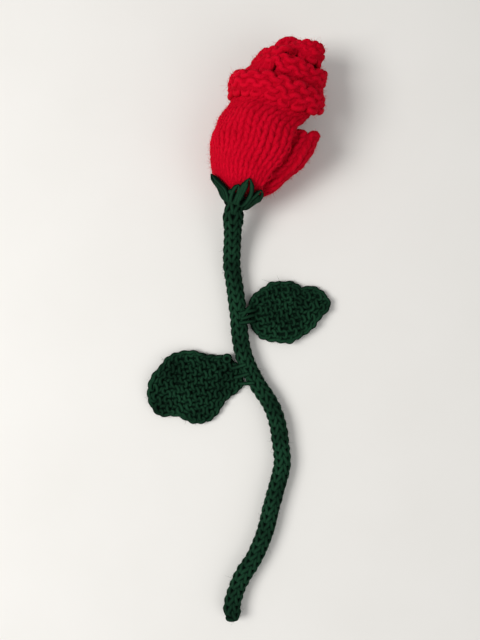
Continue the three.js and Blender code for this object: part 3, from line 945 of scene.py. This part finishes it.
# %% The stem's route
STEM_ROUTE = np.array([
    (-3.9, -148.2, 4.1), (-3.8, -140.1, 4.1), (0.2, -128.3, 4.1), (7.4, -116.4, 4.1),
    (12.3, -104.6, 4.1), (15.3, -92.8, 4.1), (18.3, -81.9, 4.1), (20.8, -71.0, 4.1),
    (20.2, -61.7, 4.1), (18.2, -49.8, 4.1), (14.8, -41.0, 4.1), (8.6, -31.6, 4.1),
    (4.6, -24.2, 4.1), (1.6, -16.3, 4.1), (0.0, -8.0, 4.1), (-0.7, 2.0, 4.1),
    (-2.4, 14.8, 4.3), (-4.0, 26.8, 5.4), (-3.6, 39.0, 8.4),
    tuple(BUD_BASE - 5 * BUD_AXIS), tuple(BUD_BASE + 1.2 * BUD_AXIS),
])


print(len(STEM_ROUTE), "places along the stem")

# %% A smooth curve through places


def between(t, start, end, first, second):
    """On the way from the first place, at start, to the second, at end."""
    return (end - t) / (end - start) * first + (t - start) / (end - start) * second


def smooth_route(corners, parts=24):
    """A smooth curve through the points, finely divided (centripetal, so that it doesn't loop)."""
    before, after = 2 * corners[0] - corners[1], 2 * corners[-1] - corners[-2]
    padded = np.concatenate([[before], corners, [after]])
    gaps = np.linalg.norm(np.diff(padded, axis=0), axis=1) ** 0.5
    knots = np.concatenate([[0], np.cumsum(gaps)])
    line = []
    for k in range(1, len(padded) - 2):
        t0, t1, t2, t3 = knots[k - 1 : k + 3]
        p0, p1, p2, p3 = padded[k - 1 : k + 3]
        t = np.linspace(t1, t2, parts, endpoint=False)[:, None]
        low, middle = between(t, t0, t1, p0, p1), between(t, t1, t2, p1, p2)
        high = between(t, t2, t3, p2, p3)
        early, late = between(t, t0, t2, low, middle), between(t, t1, t3, middle, high)
        line.append(between(t, t1, t2, early, late))
    return np.concatenate([*line, [corners[-1]]])


stem_line = smooth_route(STEM_ROUTE)
stem_run = run_along(stem_line)
STEM_LENGTH = stem_run[-1]
print("stem length", round(float(STEM_LENGTH), 1), "mm")

# %% Points on the stem
STEM_RADIUS = 4.15
STEM_YARN = 1.15
STEM_CLOTH = STEM_RADIUS - STEM_YARN - 0.3
STEM_GATHERED, STEM_FLARE = 0.7, 1.6
TWISTED_AT, TWISTED_BY = (0, 30, 60, 95, 145), np.radians((0, 0, 18, 0, 36))


def on_stem(turn, place, radius):
    """A point round the stem, place millimetres along it, and the way out; angle 0 faces up."""

    def middle(at):
        at = np.clip(at, 0, STEM_LENGTH)
        return np.stack([np.interp(at, stem_run, stem_line[:, k]) for k in range(3)], axis=-1)

    tangent = unit(middle(place + 1) - middle(place - 1))
    side = unit(np.cross(tangent, UP))
    over = np.cross(side, tangent)
    angle = turn + np.interp(place, TWISTED_AT, TWISTED_BY)
    outward = np.cos(angle)[:, None] * over + np.sin(angle)[:, None] * side
    return middle(place) + outward * radius[:, None], outward


def stem_radius(place):
    """The middle of the cloth: rounded at the foot, gathered and flared under the bud."""
    rounding = np.sqrt(1 - (1 - np.clip((place + 1) / STEM_RADIUS, 0, 1)) ** 2)
    left = STEM_LENGTH - place
    gathered = STEM_GATHERED * ease(left, 16, 11) * ease(left, 5, 9)
    return (STEM_CLOTH + gathered + STEM_FLARE * ease(left, 6, 0)) * rounding


print("half way up, the cloth is", round(float(stem_radius(STEM_LENGTH / 2)), 1), "mm out")

# %% Rows of the stem
STEM_STITCHES = 5
STEM_ROW = 4.1
STEM_STEPS = 16
STEM_BOW, STEM_LEG_HEIGHT, STEM_LEG_DEPTH = 0.25, 0.95, 1.3
FOOT_AT, FIRST_ROW_AT = 1.0, 1.4
SPARE_ROWS = 0.6


def screw_rows():
    """Turn, place and radius of the thread as it winds up the stem."""
    rows = int(STEM_LENGTH / STEM_ROW)
    side, height, depth = wave(STEM_STEPS, STEM_BOW)
    stitch = np.arange(rows * STEM_STITCHES)[:, None]
    turn = ((stitch + side) * 2 * np.pi / STEM_STITCHES).ravel()
    row = (stitch / STEM_STITCHES + height * STEM_LEG_HEIGHT).ravel()
    place = mix(FIRST_ROW_AT, STEM_LENGTH, np.clip(row / (rows + SPARE_ROWS), 0, 1))
    proud = np.tile(depth * STEM_LEG_DEPTH, len(stitch)) * ease(place, 0, 4)
    return turn, place, stem_radius(place) + proud + jitter(len(turn), 8, 0.08)


def drawn_up_foot():
    """Turn, place and radius of the casting-on, drawn up tight in two turns."""
    share = np.linspace(0, 1, 30, endpoint=False)
    return 4 * np.pi * (share - 1), mix(FOOT_AT, FIRST_ROW_AT, share), mix(0.6, 2.4, share)


print(int(STEM_LENGTH / STEM_ROW), "turns of", STEM_STITCHES, "stitches")

# %% Knit the stem
STEM_FUZZ = 0.4
CORE_RINGS, CORE_THINNEST = 120, 0.3

turn, place, radius = (np.concatenate(part) for part in zip(drawn_up_foot(), screw_rows()))
path, outward = on_stem(turn, place, radius)
yarn = path, outward, np.full(len(path), STEM_YARN)
stem_cloth = mesh_piece("stem_stitches", [thread(*yarn)], GREEN)
stem_halo = mesh_piece("stem_fuzz", [fuzz(*yarn, STEM_FUZZ)], GREEN_FUZZ)

# A core inside the cord, in the green yarn's painted shade, is the shade seen between its stitches.
along = np.linspace(0.5, STEM_LENGTH - 0.5, CORE_RINGS)
route, _ = on_stem(np.zeros(CORE_RINGS), along, np.zeros(CORE_RINGS))
core_radius = np.maximum(stem_radius(along), CORE_THINNEST)
core = thread(route, np.tile(UP, (CORE_RINGS, 1)), core_radius)
stem_shade_core = mesh_piece("stem_shade_core", [core], GREEN_IN_SHADE)
dress("stem", [stem_cloth, stem_halo, stem_shade_core])

# %% [markdown]
# ## Leaves
# The leaves are in garter stitch: every row is knitted plain and the work is turned, so the rows
# face front and back in turn, close up to half their height and show a lattice of small bumps. Rows
# run across the leaf, and each one holds as many stitches as the leaf is wide there. A chain of
# edge stitches runs round it, and a few stitches sew it to the stem.
#
# Each leaf is noted as its edge on the table, where it starts and ends, how far its middle and its
# raised rim stand up, and where the sewing stitches go from and to, all in millimetres.

# %% Where the leaves lie
LEAF_THICKNESS = 3.2
LEAF_STITCH = 5.0
LEAF_ROW = 2.5
LEAF_YARN = 1.05
LEAVES = {
    "leaf_left": {
        "edge": [
            (1.2, -25.0), (-5.0, -19.0), (-14.9, -16.8), (-25.7, -15.3), (-36.6, -18.8),
            (-43.1, -27.2), (-46.0, -39.1), (-41.1, -47.0), (-31.9, -48.3), (-21.3, -51.5),
            (-11.9, -48.0), (-5.4, -38.6), (1.8, -32.5),
        ],
        "start": (0.3, -29.0), "tip": (-44, -38), "crown": 1.4, "rim": 1.8, "raised": (-0.8, 0.6),
        "sewn": [
            ((3.0, -21.5), (-4.0, -24.0)), ((4.6, -26.0), (-2.5, -28.5)),
            ((7.0, -30.5), (-0.5, -31.5)),
        ],
        "ring": (-6.4, -19.1),
    },
    "leaf_right": {
        "edge": [
            (4.3, 5.5), (5.0, -2.5), (11.9, -9.9), (22.0, -11.2), (33.1, -7.9), (38.6, -0.8),
            (44.5, 7.4), (42.3, 13.8), (35.8, 17.0), (31.4, 15.9), (25.5, 18.9), (15.1, 18.3),
            (6.4, 12.4),
        ],
        "start": (4.5, 1.5), "tip": (43.5, 9), "crown": 0.0, "rim": 3.0, "raised": (0.6, -0.8),
        "sewn": [
            ((-0.6, 3.0), (7.5, 5.0)), ((-0.4, -1.5), (7.0, -0.5)), ((1.0, 1.5), (5.5, 7.5)),
            ((0.6, 0.6), (6.8, 2.4)),
        ],
    },
}


print("leaves:", {name: leaf["start"] for name, leaf in LEAVES.items()})

# %% Measure a leaf
EDGE_PARTS = 16


def leaf_outline(corners):
    """The leaf's edge as a fine closed line."""
    closed = np.array([*corners, *corners[:3]], float)
    wrapped = smooth_route(np.column_stack([closed, np.zeros(len(closed))]), EDGE_PARTS)
    return wrapped[EDGE_PARTS : EDGE_PARTS * (len(corners) + 1) + 1, :2]


for leaf in LEAVES.values():
    start = np.array(leaf["start"])
    leaf["axis"] = unit(np.array(leaf["tip"]) - start)
    leaf["cross"] = np.array([-leaf["axis"][1], leaf["axis"][0]])
    leaf["outline"] = leaf_outline(leaf["edge"])
    leaf["along"] = (leaf["outline"] - start) @ leaf["axis"]
    leaf["across"] = (leaf["outline"] - start) @ leaf["cross"]
print("leaf lengths", [round(float(np.ptp(leaf["along"])), 1) for leaf in LEAVES.values()], "mm")

# %% The height of a leaf
LEAF_WANDER = 0.4


def leaf_middle(leaf, flat):
    """The height of the middle of the cloth: crowned in the middle, curled up at one rim."""
    edge = leaf["outline"]
    centre = edge.mean(axis=0)
    rim, way = edge - centre, flat - centre
    round_rim, round_way = (np.arctan2(v[:, 1], v[:, 0]) for v in (rim, way))
    order = np.argsort(round_rim)
    reach = np.linalg.norm(rim, axis=1)[order]
    full = np.interp(round_way, round_rim[order], reach, period=2 * np.pi)
    out = np.linalg.norm(way, axis=1) / full
    raised_side = ease(unit(way) @ np.array(leaf["raised"]), 0.1, 0.9)
    curled = leaf["rim"] * np.clip(out, 0, 1) ** 4 * raised_side
    return LEAF_THICKNESS / 2 + leaf["crown"] * np.clip(1 - out**2, 0, 1) + curled


def laid_out(leaf, flat, lift=0):
    """Points of the leaf over the places on the table, with their way out and yarn radius."""
    points = np.column_stack([flat, leaf_middle(leaf, flat) + lift])
    points = by_hand(points, LEAF_WANDER)
    points[:, 2] = np.maximum(points[:, 2], LEAF_YARN * 0.9)
    return points, np.tile(UP, (len(points), 1)), np.full(len(points), LEAF_YARN)


print("leaf cloth", LEAF_THICKNESS, "mm thick, of", 2 * LEAF_YARN, "mm yarn")

# %% One stitch and one row of a leaf
SIDE_MARGIN, END_MARGIN = 1.6, 1.3
GARTER_BOW, GARTER_HEIGHT, GARTER_RAISED, GARTER_DEPTH = 0.13, 0.56, 0.35, 0.5


def garter_wave():
    """The path of one garter stitch, flatter and straighter than a stocking stitch."""
    t = np.arange(STITCH_STEPS) / STITCH_STEPS
    side = t + GARTER_BOW * np.sin(4 * np.pi * t)
    height = 0.5 - GARTER_HEIGHT * np.cos(2 * np.pi * t)
    return side, height, GARTER_RAISED + GARTER_DEPTH * np.cos(4 * np.pi * t)


def leaf_sides(leaf, level):
    """Where the leaf's outline lies on both sides, level millimetres along the leaf."""
    along, across = leaf["along"], leaf["across"]
    after, beyond = np.roll(along, -1), np.roll(across, -1)
    hit = (along - level) * (after - level) < 0
    share = (level - along[hit]) / (after[hit] - along[hit])
    sides = across[hit] + share * (beyond[hit] - across[hit])
    return sides.min() + SIDE_MARGIN, sides.max() - SIDE_MARGIN


print("a garter stitch is", LEAF_STITCH, "by", LEAF_ROW, "mm")

# %% Garter stitch


def garter(leaf):
    """Rows of garter stitch from the stem to the tip, as one thread that turns at each edge."""
    start, end = leaf["along"].min() + END_MARGIN, leaf["along"].max() - END_MARGIN
    levels = np.linspace(start, end, 60)
    low, high = np.array([leaf_sides(leaf, level) for level in levels]).T
    rows = int(round((levels[-1] - levels[0]) / LEAF_ROW))
    side, height, depth = garter_wave()
    lines = []
    for row in range(rows):
        level = mix(levels[0], levels[-1], (row + 0.5) / rows)
        width = np.interp(level, levels, high - low)
        stitches = max(int(round(width / LEAF_STITCH)), 1)
        across = np.append((np.arange(stitches)[:, None] + side).ravel(), stitches) / stitches
        up = row + np.append(np.tile(height, stitches), height[0])
        face = 1 if row % 2 else -1
        deep = face * np.append(np.tile(depth, stitches), depth[0])
        lines.append(np.stack([across, up, deep], axis=-1)[::face])
    share, row, deep = np.concatenate(lines).T
    count = len(share)
    level = mix(levels[0], levels[-1], np.clip((row + jitter(count, 8, 0.1)) / rows, 0, 1))
    place = mix(np.interp(level, levels, low), np.interp(level, levels, high), share)
    flat = leaf["start"] + np.outer(level, leaf["axis"]) + np.outer(place, leaf["cross"])
    return laid_out(leaf, flat + np.outer(jitter(count, 8, 0.2), leaf["cross"]), deep)


# %% The edge of a leaf
CHAIN_STEP = 0.4
CHAIN_INSET, CHAIN_SWING = 1.15, 0.3


def edge_chain(leaf):
    """The edge stitches as a wavy thread along the outline."""
    edge, centre = leaf["outline"], leaf["outline"].mean(axis=0)
    run = run_along(edge)
    at = np.linspace(0, run[-1], int(run[-1] / CHAIN_STEP))
    line = np.stack([np.interp(at, run, edge[:, k]) for k in range(2)], axis=-1)
    swing = 2 * np.pi * at / (run[-1] / round(run[-1] / LEAF_STITCH))
    inward = CHAIN_INSET + CHAIN_SWING * np.sin(swing) + jitter(len(at), 12, 0.25)
    inward = inward[:, None] * unit(line - centre)
    return laid_out(leaf, line - inward, 0.4 * np.cos(swing))


print("an edge stitch every", LEAF_STITCH, "mm")

# %% Sewing stitches
SEWING_YARN = 1.0
STITCH_TOP, STITCH_FOOT = 8.0, 3.6
STITCH_ARCH, STITCH_SINKS = 0.9, (-1.4, 0.75, 1)
RING_RADIUS, RING_HEIGHT = 1.6, 3.4


def sewing_thread(points):
    """Points with their way out and the radius of the sewing yarn."""
    return points, np.tile(UP, (len(points), 1)), np.full(len(points), SEWING_YARN)


def sewing_stitch(start, end):
    """A short stitch from the stem's side down to the leaf."""
    share = np.linspace(0, 1, 12)
    flat = mix(np.array(start), np.array(end), share[:, None])
    height = mix(STITCH_TOP, STITCH_FOOT, share) + STITCH_ARCH * np.sin(np.pi * share)
    return sewing_thread(np.column_stack([flat, steps(share, height, STITCH_SINKS)]))


def small_ring(centre):
    """The end of the casting-on, as a small ring of yarn."""
    turn = np.linspace(0, 2 * np.pi, 20)
    x, y = centre[0] + RING_RADIUS * np.cos(turn), centre[1] + RING_RADIUS * np.sin(turn)
    return sewing_thread(np.column_stack([x, y, np.full(len(turn), RING_HEIGHT)]))


print("sewing stitches:", sum(len(leaf["sewn"]) for leaf in LEAVES.values()))

# %% The lining of a leaf
LEAF_LINING = 0.3


def leaf_lining(leaf):
    """A thin closed sheet inside the leaf."""
    edge, centre = leaf["outline"], leaf["outline"].mean(axis=0)
    flat = centre + np.linspace(0.02, 0.93, 12)[:, None, None] * (edge - centre)
    high = leaf_middle(leaf, flat.reshape(-1, 2)).reshape(flat.shape[:2])[..., None]
    half = LEAF_LINING / 2
    top, bottom = (np.concatenate([flat, high + side], axis=-1) for side in (half, -half))
    return closed_sheet(top[::-1], bottom[::-1])


# %% Knit the leaves
LEAF_FUZZ = 0.35

for name, leaf in LEAVES.items():
    yarns = [garter(leaf), edge_chain(leaf)] + [sewing_stitch(*ends) for ends in leaf["sewn"]]
    if "ring" in leaf:
        yarns.append(small_ring(leaf["ring"]))
    cloth = mesh_piece(f"{name}_stitches", [thread(*yarn) for yarn in yarns], GREEN)
    halo = mesh_piece(f"{name}_fuzz", [fuzz(*yarn, LEAF_FUZZ) for yarn in yarns], GREEN_FUZZ)
    sheet = leaf_lining(leaf)
    # The sheet is the green yarn in painted shade, as it shows between the stitches.
    shaded_backing = mesh_piece(f"{name}_lining", [sheet], GREEN_IN_SHADE)
    dress(name, [cloth, halo, shaded_backing])

# %% [markdown]
# ## Sepals
# Each sepal is a loop of yarn that starts beside the stem, runs out over the cup and comes back,
# pulled thin where it is tacked down at its tip. Each sepal has a smaller loop inside, and the one
# in front has four side by side. A loop is noted as the places of its foot and its tip round the
# bud, how far up the cup its tip is, all in degrees, and its half width in millimetres.

# %% Where the sepals lie
SEPAL_YARN = 1.1
SEPAL_INSET = -SEPAL_YARN - 0.5
SEPAL_FOOT = np.radians(15.5)
SEPAL_PINCH, SEPAL_THINNED = 0.3, 0.6
SEPAL_DROP = 2.4
SEPALS = {
    "left": [(-24, -64, 38.5, 2.5), (-26, -58, 33, 0.7)],
    "front": [(36, 15, 44, 2.7), (16, 13, 42, 0.9), (2, 3, 34, 1.5), (-10, -11, 25, 0.5)],
    "right": [(80, 47, 39, 2.9), (84, 56, 33, 0.9)],
    "back_right": [(140, 132, 40, 2.4), (140, 133, 35, 0.8)],
    "back_left": [(196, 190, 40, 2.4), (196, 191, 35, 0.8)],
}


print("loops of each sepal:", {name: len(shapes) for name, shapes in SEPALS.items()})

# %% One loop


def sepal_loop(foot, tip, climb_to, half_width):
    """A pointed loop lying on the cup, from beside the stem to its tip and back."""
    share = np.linspace(0, 1, 60)
    turn = 2 * np.pi * share
    reach = (1 - np.cos(turn)) / 2
    climb = mix(SEPAL_FOOT, np.radians(climb_to), reach)
    beside = half_width * np.sin(turn) * (1 - SEPAL_PINCH * reach**2)
    place = np.radians(mix(foot, tip, reach))

    def laid(inset):
        angle = place + beside / ((HALF_WIDTH - inset) * np.sin(climb))
        drop = SEPAL_DROP * (1 - ease(reach, 0, 0.45))
        return cup_point(angle, climb, inset) - drop[:, None] * BUD_AXIS

    path = laid(SEPAL_INSET)
    radius = SEPAL_YARN * (1 - SEPAL_THINNED * ease(reach, 0.8, 1))
    return path, unit(path - laid(SEPAL_INSET + 1)), radius


# %% Sew the sepals
SEPAL_FUZZ = 0.8

for name, shapes in SEPALS.items():
    loops = [sepal_loop(*shape) for shape in shapes]
    piece = mesh_piece(f"sepal_{name}_loops", [thread(*loop) for loop in loops], GREEN)
    halo = mesh_piece(f"sepal_{name}_fuzz", [fuzz(*loop, SEPAL_FUZZ) for loop in loops], GREEN_FUZZ)
    dress(f"sepal_{name}", [piece, halo])
